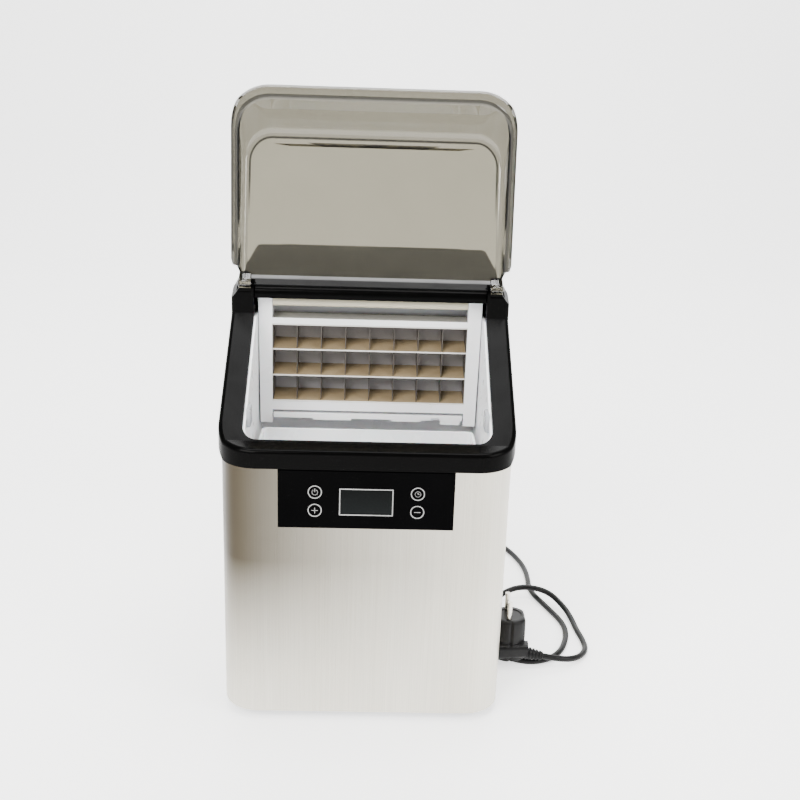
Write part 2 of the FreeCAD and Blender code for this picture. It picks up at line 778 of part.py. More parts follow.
def compressor():
    """Hermetic compressor: hollow domed can on a base plate, with three line stubs."""
    x, y, r, wall = compressor_x, compressor_y, compressor_radius, compressor_wall
    outline = [(0, 22), (r - 14, 22), (r - 3, 32), (r, 46), (r, 120), (r - 4, 138), (r - 18, 152), (0, 160)]
    hollow = [
        (0, 22 + wall), (r - 15, 22 + wall), (r - 3 - wall, 34), (r - wall, 47), (r - wall, 119),
        (r - 3.5 - wall, 136), (r - 19, 149), (0, 160 - wall),
    ]
    base = block(x - 50, x + 50, y - 50, y + 50, 16, 20)
    seat = rod(r - 14, (x, y, 19), (x, y, 24))
    stubs = [rod(4.5, (x + dx, y + dy, 130), (x + dx, y + dy, stub_top)) for dx, dy in stub_offsets]
    solid = fuse([revolved(outline, x, y), base, seat] + stubs).cut(revolved(hollow, x, y))
    holes = [rod(bolt_hole, (bx, by, 10), (bx, by, 21)) for bx, by in bolt_places()]
    return solid.cut(Part.makeCompound(holes))


def compressor_core():
    """Motor and pump block that stands inside the compressor's can."""
    x, y, floor = compressor_x, compressor_y, 22 + compressor_wall
    return fuse([
        rod(30, (x, y, floor), (x, y, 60)), rod(38, (x, y, 60), (x, y, 98)), rod(24, (x, y, 98), (x, y, 116)),
    ])


def compressor_grommets():
    """Rubber grommets between base plate and base pan."""
    rings = []
    for x, y in bolt_places():
        ring = rod(7.5, (x, y, wrap_bottom + 2.1), (x, y, 15.9))
        rings.append(ring.cut(rod(bolt_hole, (x, y, 9), (x, y, 17))))
    return Part.makeCompound(rings)


def compressor_bolts():
    """Bolts through the grommets."""
    bolts = []
    for x, y in bolt_places():
        shank = rod(2.8, (x, y, wrap_bottom + 2.1), (x, y, 20.1))
        bolts.append(shank.fuse(rod(5.0, (x, y, 20.1), (x, y, 24))))
    return Part.makeCompound(bolts)


def terminal_cover():
    """Cover over the compressor's electrical terminals."""
    x1 = compressor_x - compressor_radius - 0.6
    return block(x1 - 18, x1, compressor_y - 18, compressor_y + 18, 60, 104)


def condenser_fins():
    """Thin upright plates with holes for the four tube passes."""
    plate = block(0, 0.7, coil_y - 12, coil_y + 11, 48, 148)
    heights = [tube_low + i * tube_pitch for i in range(4)]
    plate = plate.cut(Part.makeCompound([rod(3.6, (-1, coil_y, z), (2, coil_y, z)) for z in heights]))
    return Part.makeCompound([plate.translated(Vector(-99 + i * fin_pitch, 0, 0)) for i in range(fin_count)])


def condenser_tubes():
    """Copper passes through the fins with return bends."""
    left, right, outlet = -112, -22, -30
    first, second, third, fourth = (tube_low + i * tube_pitch for i in (3, 2, 1, 0))
    lines = [
        (outlet, coil_y, first), (left, coil_y, first), (left, coil_y, second), (right, coil_y, second),
        (right, coil_y, third), (left, coil_y, third), (left, coil_y, fourth), (outlet, coil_y, fourth),
    ]
    return tube(lines, 3.5, tube_pitch / 2 - 0.01)


def fan_shroud():
    """Shroud in front of the condenser with a ring for the fan and a bar for its motor."""
    plate = block(-117, -20, 129, 133, 30, 152)
    ring = rod(46, (fan_x, 120, fan_z), (fan_x, 131, fan_z))
    bar = block(-115, -21, 108, 112, fan_z - 5, fan_z + 5)
    legs = [block(x, x + 5, 108, 130, fan_z - 5, fan_z + 5) for x in (-117, -25)]
    solid = fuse([plate, ring, bar] + legs)
    solid = solid.cut(rod(43, (fan_x, 113, fan_z), (fan_x, 140, fan_z)))
    return solid.cut(rod(3.0, (fan_x, 100, fan_z), (fan_x, 120, fan_z)))


def fan_motor():
    """Shaded-pole motor with a bore for the shaft."""
    body = rod(17, (fan_x, 82, fan_z), (fan_x, 107.9, fan_z))
    frame = block(fan_x - 20, fan_x + 20, 86, 96, fan_z - 20, fan_z + 20)
    return fuse([body, frame]).cut(rod(2.1, (fan_x, 97, fan_z), (fan_x, 109, fan_z)))


def fan_shaft():
    return rod(2.0, (fan_x, 98, fan_z), (fan_x, 127, fan_z))


def fan_blade():
    """Axial fan: pitched blades on a hub."""
    hub = rod(9.0, (fan_x, 115.5, fan_z), (fan_x, 127.5, fan_z))
    blades = []
    for i in range(fan_blades):
        blade = block(-8, 8, -0.8, 0.8, 7.5, fan_radius)
        blade = blade.rotated(Vector(0, 0, 0), Vector(0, 0, 1), 32)
        blade = blade.rotated(Vector(0, 0, 0), Vector(0, 1, 0), i * 360 / fan_blades)
        blades.append(blade.translated(Vector(fan_x, 121.5, fan_z)))
    solid = fuse([hub] + blades)
    return solid.cut(rod(2.05, (fan_x, 110, fan_z), (fan_x, 127.6, fan_z)))


def filter_drier():
    """Copper filter drier, necked at both ends."""
    outline = [(0, 76), (3.5, 76), (3.5, 82), (9, 92), (9, 134), (3.5, 144), (3.5, 150), (0, 150)]
    return revolved(outline, 10, coil_y)


def discharge_line():
    x = compressor_x - 24
    top = tube_low + 3 * tube_pitch
    lines = [
        (x, compressor_y, stub_top + 0.1), (x, compressor_y, 190), (x, coil_y, 190),
        (-6, coil_y, 190), (-6, coil_y, top), (-29.9, coil_y, top),
    ]
    return tube(lines, 3.0, 9)


def liquid_line():
    return tube([(-29.9, coil_y, tube_low), (10, coil_y, tube_low), (10, coil_y, 75.9)], 2.5, 8)


def capillary_tube():
    lines = [
        (10, coil_y, 150.1), (10, coil_y, 178), (10, 40, 178),
        (92, 40, 178), (92, 40, 262), (92, 14.1, 262),
    ]
    return tube(lines, 1.2, 8)


def suction_line():
    lines = [
        (-92, 14.1, 306), (-92, 32, 306), (-92, 32, 226),
        (compressor_x, 32, 226), (compressor_x, compressor_y + 28, 226),
        (compressor_x, compressor_y + 28, stub_top + 0.1),
    ]
    return tube(lines, 4.0, 12)


def hot_gas_valve():
    """Solenoid valve that sends hot gas to the evaporator to free the ice."""
    body = rod(7.0, (56, 146, 140), (84, 146, 140))
    neck = rod(5.0, (70, 146, 140), (70, 146, 152))
    winding = block(58, 82, 134, 158, 151, 178)
    return fuse([body, neck, winding])


def hot_gas_line():
    """Two short runs: compressor line to valve, and valve to evaporator."""
    inlet = tube([(55.9, 146, 140), (34, 146, 140), (34, 128, 140), (34, 128, 186.8)], 2.6, 7)
    outlet = tube(
        [(84.1, 146, 140), (108, 146, 140), (108, 146, 222), (108, 5, 222), (108, 5, 262), (95.7, 5, 262)],
        2.6, 7,
    )
    return Part.makeCompound([inlet, outlet])


def board_bracket():
    """Shelf across the rear of the cabinet for the power board, with four standoffs."""
    shelf = block(-118, 118, 52, 164, 240, 241.5)
    flanges = [block(*mirrored(116.5, 118, side), 52, 164, 230, 241.5) for side in (-1, 1)]
    posts = [rod(3.0, (x, y, 241), (x, y, 246.9)) for x in (-62, 42) for y in (63, 142)]
    return fuse([shelf] + flanges + posts)


def power_board():
    """Power board with a relay, a transformer, capacitors and terminals."""
    board = block(-70, 50, 55, 150, 247, 248.6)
    items = [
        block(-60, -30, 100, 130, 248.6, 270),
        block(-20, 0, 105, 125, 248.6, 264),
        block(8, 28, 105, 125, 248.6, 264),
        block(-62, 40, 60, 70, 248.6, 260),
        rod(6, (-15, 88, 248.6), (-15, 88, 268)),
        rod(5, (5, 88, 248.6), (5, 88, 264)),
    ]
    return fuse([board] + items)


def insulation():
    """Foam slabs round the tank."""
    slabs = [block(*mirrored(liner_half + 0.6, wrap_half - 2.2, side), -140, -8, 96, 230) for side in (-1, 1)]
    slabs.append(block(-88, 88, wrap_front + 2.2, opening_front - 0.8, 96, 178))
    return Part.makeCompound(slabs)


# ---- Mains cord ---------------------------------------------------------------------------------------
relief_end_y = rear_face + relief_length
cord_route = [
    (cord_exit_x, relief_end_y, cord_exit_z),
    (-91, 230, 19.5),
    (-80, 249, 12),
    (-58, 258, 5.5),
    (-28, 262, 3.4),
    (16, 256, 3.4),
    (62, 249, 3.4),
    (108, 238, 3.4),
    (146, 211, 3.4),
    (171, 172, 3.4),
    (183, 136, 3.4),
    (186, 106, 3.4),
    (183, 68, 3.4),
    (196, 34, 3.4),
    (210, -4, 3.4),
    (208, -34, 3.4),
    (195, -66, 3.4),
    (173, -80, 3.4),
    (152, -78, 3.4),
    (136, -66, 3.4),
    (129.5, -46, 3.4),
    (130, -20, 3.4),
    (135, 6, 3.4),
    (138, 40, 4),
    (166, 60, 13),
    (199, 53, 13),
    (215, 26, 7),
    (220, 4, 3.6),
    (221, -16, 3.4),
    (224, -36, 3.4),
    (224, -56, 3.6),
    (213.5, -73.5, 5),
    (195.5, -83, 8),
    (175.5, -82, 11.5),
]
plug_x = 143.0
plug_y = -70.0
plug_low = 7.0


def cord_bends():
    """Arc radii at the cord's corners: 0.45 of the shorter run over the tangent of half the turn."""
    bends = []
    points = [Vector(*p) for p in cord_route]
    for before, corner, after in zip(points, points[1:], points[2:]):
        into, out = corner - before, after - corner
        shorter = min(into.Length, out.Length)
        bends.append(0.45 * shorter / math.tan(into.getAngle(out) / 2))
    return bends


def power_cord():
    """Jacketed cord from the gland to the plug, lying on the table."""
    return tube(cord_route, cord_radius, cord_bends())


def strain_relief():
    """Gland in the rear panel with a tapered sleeve over the cord's first stretch."""
    x, z = cord_exit_x, cord_exit_z
    flange = rod(8.0, (x, rear_face + 0.05, z), (x, rear_face + 3, z))
    stem = rod(4.9, (x, rear_panel_y - 4, z), (x, rear_face + 1, z))
    sleeve = Part.makeCone(6.0, 4.2, relief_length - 3.1, Vector(x, rear_face + 3, z), Vector(0, 1, 0))
    return fuse([flange, stem, sleeve])


def plug_body():
    """Angled mains plug resting on the cord with its pins up, and the sleeve that its cord leaves by."""
    half_width = 15.5
    flats = block(plug_x - half_width, plug_x + half_width, plug_y - 20, plug_y + 20, 0, 80)
    lower = rod(18.5, (plug_x, plug_y, plug_low), (plug_x, plug_y, plug_low + 19)).common(flats)
    nose = rod(17.6, (plug_x, plug_y, plug_low + 19), (plug_x, plug_y, plug_low + 43)).common(flats)
    rims = [e for e in nose.Edges if abs(e.BoundBox.ZMin - nose.BoundBox.ZMax) < 1e-3]
    nose = nose.makeChamfer(1.5, rims)
    end = Vector(*cord_route[-1])
    axis = (end - Vector(*cord_route[-2])).normalize()
    start = end + axis * 24
    sleeve = Part.makeCone(6.6, 4.4, 24, start, axis * -1)
    arm = block(plug_x, plug_x + 24, plug_y - 17, plug_y + 4, plug_low + 4, plug_low + 17)
    return fuse([lower, nose, arm, sleeve])


def plug_pins():
    """Two round contact pins, one behind the other."""
    top = plug_low + 43
    x = plug_x - 2
    return Part.makeCompound([
        rod(2.4, (x, plug_y + dy, top + 0.1), (x, plug_y + dy, top + 18)) for dy in (-9.5, 9.5)
    ])


# ---- Nodes --------------------------------------------------------------------------------------------
nodes = {
    "steel_wrap": steel_wrap,
    "base_pan": base_pan,
    "feet": feet,
    "rear_panel": rear_panel,
    "rear_screws": rear_screws,
    "top_frame": top_frame,
    "rear_top_cover": rear_top_cover,
    "lid": lid,
    "lid_hinge_pins": lid_hinge_pins,
    "control_panel": control_panel,
    "display_bezel": display_bezel,
    "lcd_screen": lcd_screen,
    "button_rings": button_rings,
    "tactile_switches": tactile_switches,
    "control_board": control_board,
    "inner_tank": inner_tank,
    "ice_basket": ice_basket,
    "evaporator_frame": evaporator_frame,
    "evaporator_grid": evaporator_grid,
    "evaporator_coil": evaporator_coil,
    "water_distributor": water_distributor,
    "water_trough": water_trough,
    "water_level_sensor": water_level_sensor,
    "water_pump": water_pump,
    "pump_hose": pump_hose,
    "drain_hose": drain_hose,
    "drain_plug": drain_plug,
    "compressor": compressor,
    "compressor_core": compressor_core,
    "compressor_grommets": compressor_grommets,
    "compressor_bolts": compressor_bolts,
    "terminal_cover": terminal_cover,
    "condenser_fins": condenser_fins,
    "condenser_tubes": condenser_tubes,
    "fan_shroud": fan_shroud,
    "fan_motor": fan_motor,
    "fan_shaft": fan_shaft,
    "fan_blade": fan_blade,
    "filter_drier": filter_drier,
    "discharge_line": discharge_line,
    "liquid_line": liquid_line,
    "capillary_tube": capillary_tube,
    "suction_line": suction_line,
    "hot_gas_valve": hot_gas_valve,
    "hot_gas_line": hot_gas_line,
    "board_bracket": board_bracket,
    "power_board": power_board,
    "insulation": insulation,
    "strain_relief": strain_relief,
    "power_cord": power_cord,
    "plug_body": plug_body,
    "plug_pins": plug_pins,
}


def main():
    os.makedirs("parts", exist_ok=True)
    shapes = {name: make() for name, make in nodes.items()}
    for name, (x, z) in button_places().items():
        shapes[name] = push_button(x, z)
    for side, word in ((-1, "left"), (1, "right")):
        shapes["ice_sensor_" + word] = ice_sensor(side)
    for name, shape in shapes.items():
        solids = len(shape.Solids)
        if not shape.isValid() or not solids or shape.Volume <= 0:
            print("check", name, shape.isValid(), solids, shape.Volume)
        shape.exportStep("parts/" + name + ".step")
    print("nodes:", len(shapes))


main()
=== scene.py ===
"""Looks for the ice maker: materials, cord, plug, button marks and trim over the CAD frame. Metres."""

import json
import math

import bmesh
import bpy
from mathutils import Matrix, Vector


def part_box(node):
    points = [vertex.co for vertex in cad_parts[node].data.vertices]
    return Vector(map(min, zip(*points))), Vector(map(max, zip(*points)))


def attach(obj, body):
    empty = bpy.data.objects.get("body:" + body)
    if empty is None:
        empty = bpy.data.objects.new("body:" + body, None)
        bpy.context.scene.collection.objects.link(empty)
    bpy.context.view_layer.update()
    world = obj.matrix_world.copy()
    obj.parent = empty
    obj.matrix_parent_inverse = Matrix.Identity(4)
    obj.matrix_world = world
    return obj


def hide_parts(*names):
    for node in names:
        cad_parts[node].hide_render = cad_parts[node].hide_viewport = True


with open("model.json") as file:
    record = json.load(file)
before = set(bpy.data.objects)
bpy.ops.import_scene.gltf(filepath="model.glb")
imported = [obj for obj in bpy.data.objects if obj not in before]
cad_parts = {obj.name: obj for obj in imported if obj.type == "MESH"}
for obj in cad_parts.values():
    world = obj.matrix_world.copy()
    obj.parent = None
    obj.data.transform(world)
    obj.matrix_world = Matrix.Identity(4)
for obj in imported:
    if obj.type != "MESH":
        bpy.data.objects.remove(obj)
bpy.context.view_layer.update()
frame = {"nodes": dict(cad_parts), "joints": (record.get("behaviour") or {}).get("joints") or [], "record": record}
nodes = frame["nodes"]
record = frame["record"]
slot_of = {part["node"]: part["material_slot"] for part in record["subparts"]}


# ---- Material helpers ---------------------------------------------------------------------------------
class Look:
    """One node material: a Principled shader and short calls that feed it."""

    def __init__(self, name, color, roughness, metallic=0.0, **sockets):
        self.material = bpy.data.materials.new(name)
        self.material.use_nodes = True
        self.tree = self.material.node_tree
        self.shader = self.tree.nodes["Principled BSDF"]
        self.shader.inputs["Base Color"].default_value = (*color, 1)
        self.shader.inputs["Roughness"].default_value = roughness
        self.shader.inputs["Metallic"].default_value = metallic
        for socket, value in sockets.items():
            self.shader.inputs[socket.replace("_", " ")].default_value = value
        self.place = self.tree.nodes.new("ShaderNodeTexCoord").outputs["Object"]

    def link(self, start, end):
        self.tree.links.new(start, end)

    def noise(self, scale, stretch=(1, 1, 1), detail=3, distortion=0.0):
        """Noise over the object's own metres, drawn out along an axis where stretch is small."""
        mapping = self.tree.nodes.new("ShaderNodeMapping")
        mapping.inputs["Scale"].default_value = stretch
        texture = self.tree.nodes.new("ShaderNodeTexNoise")
        texture.inputs["Scale"].default_value = scale
        texture.inputs["Detail"].default_value = detail
        texture.inputs["Distortion"].default_value = distortion
        self.link(self.place, mapping.inputs["Vector"])
        self.link(mapping.outputs["Vector"], texture.inputs["Vector"])
        return texture.outputs["Fac"]

    def span(self, value, low, high, start=0.3, end=0.7):
        """The value's range from start to end, carried to low and high."""
        node = self.tree.nodes.new("ShaderNodeMapRange")
        node.inputs["From Min"].default_value = start
        node.inputs["From Max"].default_value = end
        node.inputs["To Min"].default_value = low
        node.inputs["To Max"].default_value = high
        self.link(value, node.inputs["Value"])
        return node.outputs["Result"]

    def colors(self, value, stops):
        """A colour ramp over value; stops are (position, colour)."""
        ramp = self.tree.nodes.new("ShaderNodeValToRGB")
        elements = ramp.color_ramp.elements
        while len(elements) < len(stops):
            elements.new(0.5)
        for element, (position, color) in zip(elements, stops):
            element.position = position
            element.color = (*color, 1)
        self.link(value, ramp.inputs["Fac"])
        return ramp.outputs["Color"]

    def bump(self, value, strength, distance):
        """Relief from value, distance deep in metres."""
        node = self.tree.nodes.new("ShaderNodeBump")
        node.inputs["Strength"].default_value = strength
        node.inputs["Distance"].default_value = distance
        self.link(value, node.inputs["Height"])
        self.link(node.outputs["Normal"], self.shader.inputs["Normal"])

    def feed(self, socket, value):
        """The shader's socket, driven by value."""
        self.link(value, self.shader.inputs[socket])

    def drift(self, value, low, high):
        """Base colour that wanders between two colours."""
        self.feed("Base Color", self.colors(value, [(0.3, low), (0.7, high)]))

    def mix(self, share, under, over):
        """Two colours, mixed by share."""
        node = self.tree.nodes.new("ShaderNodeMix")
        node.data_type = "RGBA"
        for value, socket in ((share, "Factor"), (under, "A"), (over, "B")):
            if isinstance(value, tuple):
                node.inputs[socket].default_value = (*value, 1)
            else:
                self.link(value, node.inputs[socket])
        return node.outputs["Result"]

    def math(self, operation, *values):
        """One arithmetic node over the values."""
        node = self.tree.nodes.new("ShaderNodeMath")
        node.operation = operation
        for value, socket in zip(values, node.inputs):
            self.link(value, socket)
        return node.outputs[0]

    def split(self, value):
        """The X, Y and Z of a vector."""
        node = self.tree.nodes.new("ShaderNodeSeparateXYZ")
        self.link(value, node.inputs[0])
        return node.outputs


def shade(color, factor):
    """A colour made lighter or darker by a factor."""
    return tuple(min(1.0, channel * factor) for channel in color)


def plastic(name, color, roughness, grain=900, depth=0.00004, variation=0.06, **sockets):
    """Moulded plastic: faint colour drift, fine texture and uneven sheen."""
    look = Look(name, color, roughness, **sockets)
    look.drift(look.noise(9), shade(color, 1 - variation), shade(color, 1 + variation))
    look.feed("Roughness", look.span(look.noise(60, detail=5), roughness * 0.85, roughness * 1.25))
    look.bump(look.noise(grain, detail=2), 0.25, depth)
    return look.material


def metal(name, color, roughness, stretch=(1, 1, 1), scale=300):
    """Plain metal with a drawn or turned grain along the axis of least stretch."""
    look = Look(name, color, roughness, 1.0)
    grain = look.noise(scale, stretch, detail=4)
    look.feed("Roughness", look.span(grain, roughness * 0.7, roughness * 1.4))
    look.drift(look.noise(35), shade(color, 0.85), shade(color, 1.1))
    look.bump(grain, 0.3, 0.00002)
    return look.material


def brushed_stainless():
    """Vertically brushed, faintly smudged sheet with a painted reflection: a brownish wash darkest at the front's
    upper left.
    """
    base = (0.66, 0.638, 0.565)
    reflection_tan = (0.042, 0.034, 0.022)
    climb, left_side, front_face = (0.0, 0.155), (-0.112, 0.17), (-0.15, -0.10)
    look = Look("brushed_stainless", base, 0.3, 1.0)
    lines = look.noise(1.0, (1900, 1900, 9), detail=3)
    bands = look.noise(1.0, (26, 26, 1.3), detail=2)
    smudge = look.noise(14, detail=4, distortion=0.8)
    tone = look.tree.nodes.new("ShaderNodeMix")
    tone.data_type = "RGBA"
    tone.blend_type = "MULTIPLY"
    tone.inputs["Factor"].default_value = 1.0
    look.link(look.colors(lines, [(0.25, shade(base, 0.86)), (0.75, shade(base, 1.1))]), tone.inputs["A"])
    look.link(look.colors(bands, [(0.3, (0.93, 0.915, 0.89)), (0.7, (1.0, 1.0, 1.0))]), tone.inputs["B"])
    # Painted reflection: the brownish wash grows upwards and fades to the right and towards the back.
    spot = look.split(look.place)
    share = look.span(spot["Z"], 0, 1, *climb)
    for axis, reach in (("X", left_side), ("Y", front_face)):
        share = look.math("MULTIPLY", share, look.span(spot[axis], 1, 0, *reach))
    look.feed("Base Color", look.mix(share, tone.outputs["Result"], reflection_tan))
    drawn = look.span(lines, 0.27, 0.40)
    look.feed("Roughness", look.math("ADD", drawn, look.span(smudge, -0.02, 0.07, 0.4, 0.75)))
    look.bump(lines, 0.22, 0.00003)
    return look.material


def gloss_black():
    """High-gloss black moulding with wipe marks and dust, duller on the strip in front of the lid."""
    black, dust_grey = (0.0008, 0.0008, 0.0008), (0.012, 0.012, 0.011)
    dull, shiny = 0.02, 0.5
    strip_back, flat_top = (-0.014, -0.008), (0.3625, 0.3638)
    look = Look("gloss_black", black, 0.14, IOR=1.1)
    dust = look.noise(2600, detail=1)
    haze = look.noise(22, (1, 1, 2), detail=5, distortion=1.2)
    look.feed("Base Color", look.colors(dust, [(0.70, black), (0.84, dust_grey)]))
    look.feed("Roughness", look.span(haze, 0.11, 0.27))
    spot = look.split(look.place)
    behind = look.span(spot["Y"], dull, shiny, *strip_back)
    below = look.span(spot["Z"], shiny, dull, *flat_top)
    look.feed("Specular IOR Level", look.math("MAXIMUM", behind, below))
    look.bump(look.noise(48, detail=2), 0.12, 0.0002)
    return look.material


def smoke_clear():
    """Smoke-tinted clear moulding, with painted shade: darker where the mesh carries a painted edge shade."""
    tint, edge = (0.172, 0.160, 0.122), (0.016, 0.015, 0.012)
    look = Look("smoke_clear", tint, 0.03, IOR=1.49, Transmission_Weight=1.0)
    haze = look.noise(16, detail=4, distortion=0.6)
    # Painted shade: the mesh attribute darkens the rim band, walls and crease, and draws dark lines at the step
    # and the roof's edge.
    tone = look.tree.nodes.new("ShaderNodeAttribute")
    tone.attribute_name = "painted_edge_shade"
    clear = look.colors(haze, [(0.3, shade(tint, 0.975)), (0.7, shade(tint, 1.02))])
    look.feed("Base Color", look.mix(tone.outputs["Fac"], clear, edge))
    look.feed("Roughness", look.span(haze, 0.015, 0.06))
    look.bump(look.noise(30, detail=1), 0.05, 0.0003)
    return look.material


def panel_black():
    """Satin black front of the control panel."""
    look = Look("panel_black", (0.0006, 0.0006, 0.0007), 0.24, IOR=1.06)
    grain = look.noise(1500, detail=2)
    look.drift(look.noise(20, detail=4), (0.0005, 0.0005, 0.0006), (0.0009, 0.0009, 0.001))
    look.feed("Roughness", look.span(look.noise(30, detail=5), 0.22, 0.36))
    look.bump(grain, 0.15, 0.00003)
    return look.material


def display_glass():
    """Unlit liquid-crystal window: grey, a little lighter towards its lower edge, with a fine cell mesh."""
    look = Look("display_glass", (0.004, 0.005, 0.005), 0.2, IOR=1.1)
    low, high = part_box("lcd_screen")
    height = look.span(look.split(look.place)["Z"], 0, 1, low.z, high.z)
    tones = [(0.0, (0.0052, 0.0063, 0.0064)), (1.0, (0.0024, 0.0028, 0.0028))]
    look.feed("Base Color", look.colors(height, tones))
    look.feed("Roughness", look.span(look.noise(2500, detail=1), 0.16, 0.3))
    return look.material


def cell_metal():
    """Tinned evaporator cells, coloured by facing: painted light on the brownish cell bottoms, painted shade on
    sideways fin faces and on the grey back towards the top, painted highlights on the top plate and front edges.
    """
    rows, top_plate = (0.262, 0.332), (0.320, 0.325)
    fin_fronts, frame_side = (-0.0335, -0.0325), (-0.0352, -0.0350)
    facing = (0.3, 0.8)
    top_highlight = (0.42, 0.41, 0.37)
    look = Look("cell_metal", (0.40, 0.34, 0.25), 0.42)
    film = look.noise(60, detail=5, distortion=0.5)
    fine = look.noise(900, detail=3)
    geometry = look.tree.nodes.new("ShaderNodeNewGeometry")
    normal = look.split(geometry.outputs["Normal"])
    spot = look.split(look.place)
    height = look.span(spot["Z"], 0, 1, *rows)
    # Painted shade: the back is drawn darker towards the top of the grid.
    tones = [(0.0, (0.33, 0.315, 0.32)), (0.5, (0.19, 0.168, 0.155)), (1.0, (0.095, 0.076, 0.062))]
    back = look.colors(height, tones)
    # Painted light: faces turned up are drawn lighter and brownish, with a painted highlight on the top plate.
    lit_floors = look.colors(film, [(0.3, (0.205, 0.152, 0.085)), (0.7, (0.26, 0.198, 0.115))])
    lit_floors = look.mix(look.span(spot["Z"], 0, 1, *top_plate), lit_floors, top_highlight)
    # Painted shade: faces turned sideways and the fin fronts are drawn dark.
    shaded_fins = look.colors(film, [(0.3, (0.042, 0.035, 0.029)), (0.7, (0.065, 0.055, 0.045))])
    # Painted highlight: the front edges are drawn light.
    edges = look.colors(film, [(0.3, (0.62, 0.60, 0.57)), (0.7, (0.74, 0.73, 0.70))])
    flat = look.span(normal["Z"], 0, 1, *facing)
    sideways = look.span(look.math("ABSOLUTE", normal["X"]), 0, 1, *facing)
    color = look.mix(look.span(spot["Y"], 1, 0, *fin_fronts), back, shaded_fins)
    color = look.mix(flat, color, lit_floors)
    color = look.mix(sideways, color, shaded_fins)
    look.feed("Base Color", look.mix(look.span(spot["Y"], 1, 0, *frame_side), color, edges))
    look.feed("Roughness", look.span(fine, 0.32, 0.55))
    look.bump(fine, 0.3, 0.00008)
    return look.material


def board_green():
    """Circuit board with lighter traces under its green coat."""
    look = Look("board_green", (0.02, 0.12, 0.06), 0.35)
    traces = look.noise(240, (1, 4, 1), detail=0)
    look.feed("Base Color", look.colors(traces, [(0.48, (0.015, 0.10, 0.05)), (0.52, (0.03, 0.18, 0.09))]))
    look.bump(traces, 0.3, 0.00005)
    return look.material


def make_materials():
    """One finished material for each slot of the record."""
    return {
        "brushed_stainless": brushed_stainless(),
        "grey_galvanised": plastic(
            "grey_galvanised", (0.30, 0.305, 0.31), 0.42, 500, 0.00006, 0.12, Metallic=0.6,
        ),
        "grey_plastic": plastic("grey_plastic", (0.045, 0.046, 0.048), 0.5, 800, 0.0001, 0.1),
        "bright_steel": metal("bright_steel", (0.62, 0.62, 0.63), 0.22),
        "black_rubber": plastic("black_rubber", (0.006, 0.006, 0.006), 0.6, 1200, 0.0001, 0.2, IOR=1.3),
        "gloss_black": gloss_black(),
        "smoke_clear": smoke_clear(),
        "panel_black": panel_black(),
        "silver_trim": metal("silver_trim", (0.26, 0.26, 0.255), 0.25, scale=900),
        "display_glass": display_glass(),
        "board_parts": plastic("board_parts", (0.04, 0.04, 0.045), 0.5),
        "board_green": board_green(),
        "white_plastic": plastic(
            "white_plastic", (0.86, 0.865, 0.88), 0.3, 700, 0.00003, 0.025, Subsurface_Weight=0.08,
            Subsurface_Scale=0.004,
        ),
        "basket_plastic": plastic(
            "basket_plastic", (0.88, 0.885, 0.90), 0.25, 600, 0.00003, 0.03, Subsurface_Weight=0.2,
            Subsurface_Scale=0.005,
        ),
        "cell_metal": cell_metal(),
        "copper": metal("copper", (0.72, 0.36, 0.20), 0.3),
        "cream_plastic": plastic("cream_plastic", (0.66, 0.61, 0.46), 0.42, 600, 0.00005, 0.06),
        "lens_plastic": plastic(
            "lens_plastic", (0.55, 0.57, 0.60), 0.12, 300, 0.00002, 0.05, Transmission_Weight=0.4,
        ),
        "dark_plastic": plastic("dark_plastic", (0.03, 0.03, 0.033), 0.5, 700, 0.00008, 0.2),
        "silicone_hose": plastic(
            "silicone_hose", (0.60, 0.60, 0.56), 0.4, 400, 0.00004, 0.05, Transmission_Weight=0.2,
        ),
        "compressor_paint": plastic("compressor_paint", (0.018, 0.018, 0.02), 0.3, 250, 0.0001, 0.2),
        "fin_aluminium": metal("fin_aluminium", (0.75, 0.75, 0.76), 0.35),
        "motor_steel": metal("motor_steel", (0.35, 0.36, 0.37), 0.45, (1, 12, 1)),
        "valve_brass": metal("valve_brass", (0.70, 0.50, 0.24), 0.28),
        "foam_white": plastic("foam_white", (0.78, 0.77, 0.72), 0.9, 260, 0.0006, 0.05),
        "cord_black": plastic("cord_black", (0.004, 0.004, 0.0042), 0.36, 900, 0.00005, 0.15, IOR=1.25),
        "pin_nickel": metal("pin_nickel", (0.66, 0.63, 0.57), 0.22),
    }


materials = make_materials()


def dress_nodes():
    """Every CAD node gets the material of its slot."""
    for name, node in nodes.items():
        node.data.materials.clear()
        node.data.materials.append(materials[slot_of[name]])


# ---- Mesh helpers -------------------------------------------------------------------------------------
def piece(name, mesh, body, slot, smooth=True):
    """A new object of one mesh that rides on a body and wears a slot's material."""
    thing = bpy.data.objects.new(name, mesh)
    bpy.context.scene.collection.objects.link(thing)
    mesh.materials.append(materials[slot])
    for polygon in mesh.polygons:
        polygon.use_smooth = smooth
    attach(thing, body)
    return thing


def strip_mesh(name, rows):
    """A skin over rings of points, capped at both ends; all rings have the same count."""
    work = bmesh.new()
    grid = [[work.verts.new(point) for point in row] for row in rows]
    count = len(grid[0])
    for a, b in zip(grid, grid[1:]):
        for i in range(count):
            j = (i + 1) % count
            work.faces.new((a[i], a[j], b[j], b[i]))
    work.faces.new(list(reversed(grid[0])))
    work.faces.new(grid[-1])
    bmesh.ops.recalc_face_normals(work, faces=work.faces)
    mesh = bpy.data.meshes.new(name)
    work.to_mesh(mesh)
    work.free()
    return mesh


def axes_across(direction):
    """Two unit vectors across a direction that isn't upright."""
    side = direction.cross(Vector((0, 0, 1))).normalized()
    return side, side.cross(direction).normalized()


def arc(radius, start, stop, count=16):
    """Points of an arc round the middle, from start to stop in degrees."""
    turns = [math.radians(start + (stop - start) * i / count) for i in range(count + 1)]
    return [(radius * math.cos(a), radius * math.sin(a)) for a in turns]


def round_turns(count):
    """Angles of one full turn in equal steps."""
    return [i * math.tau / count for i in range(count)]


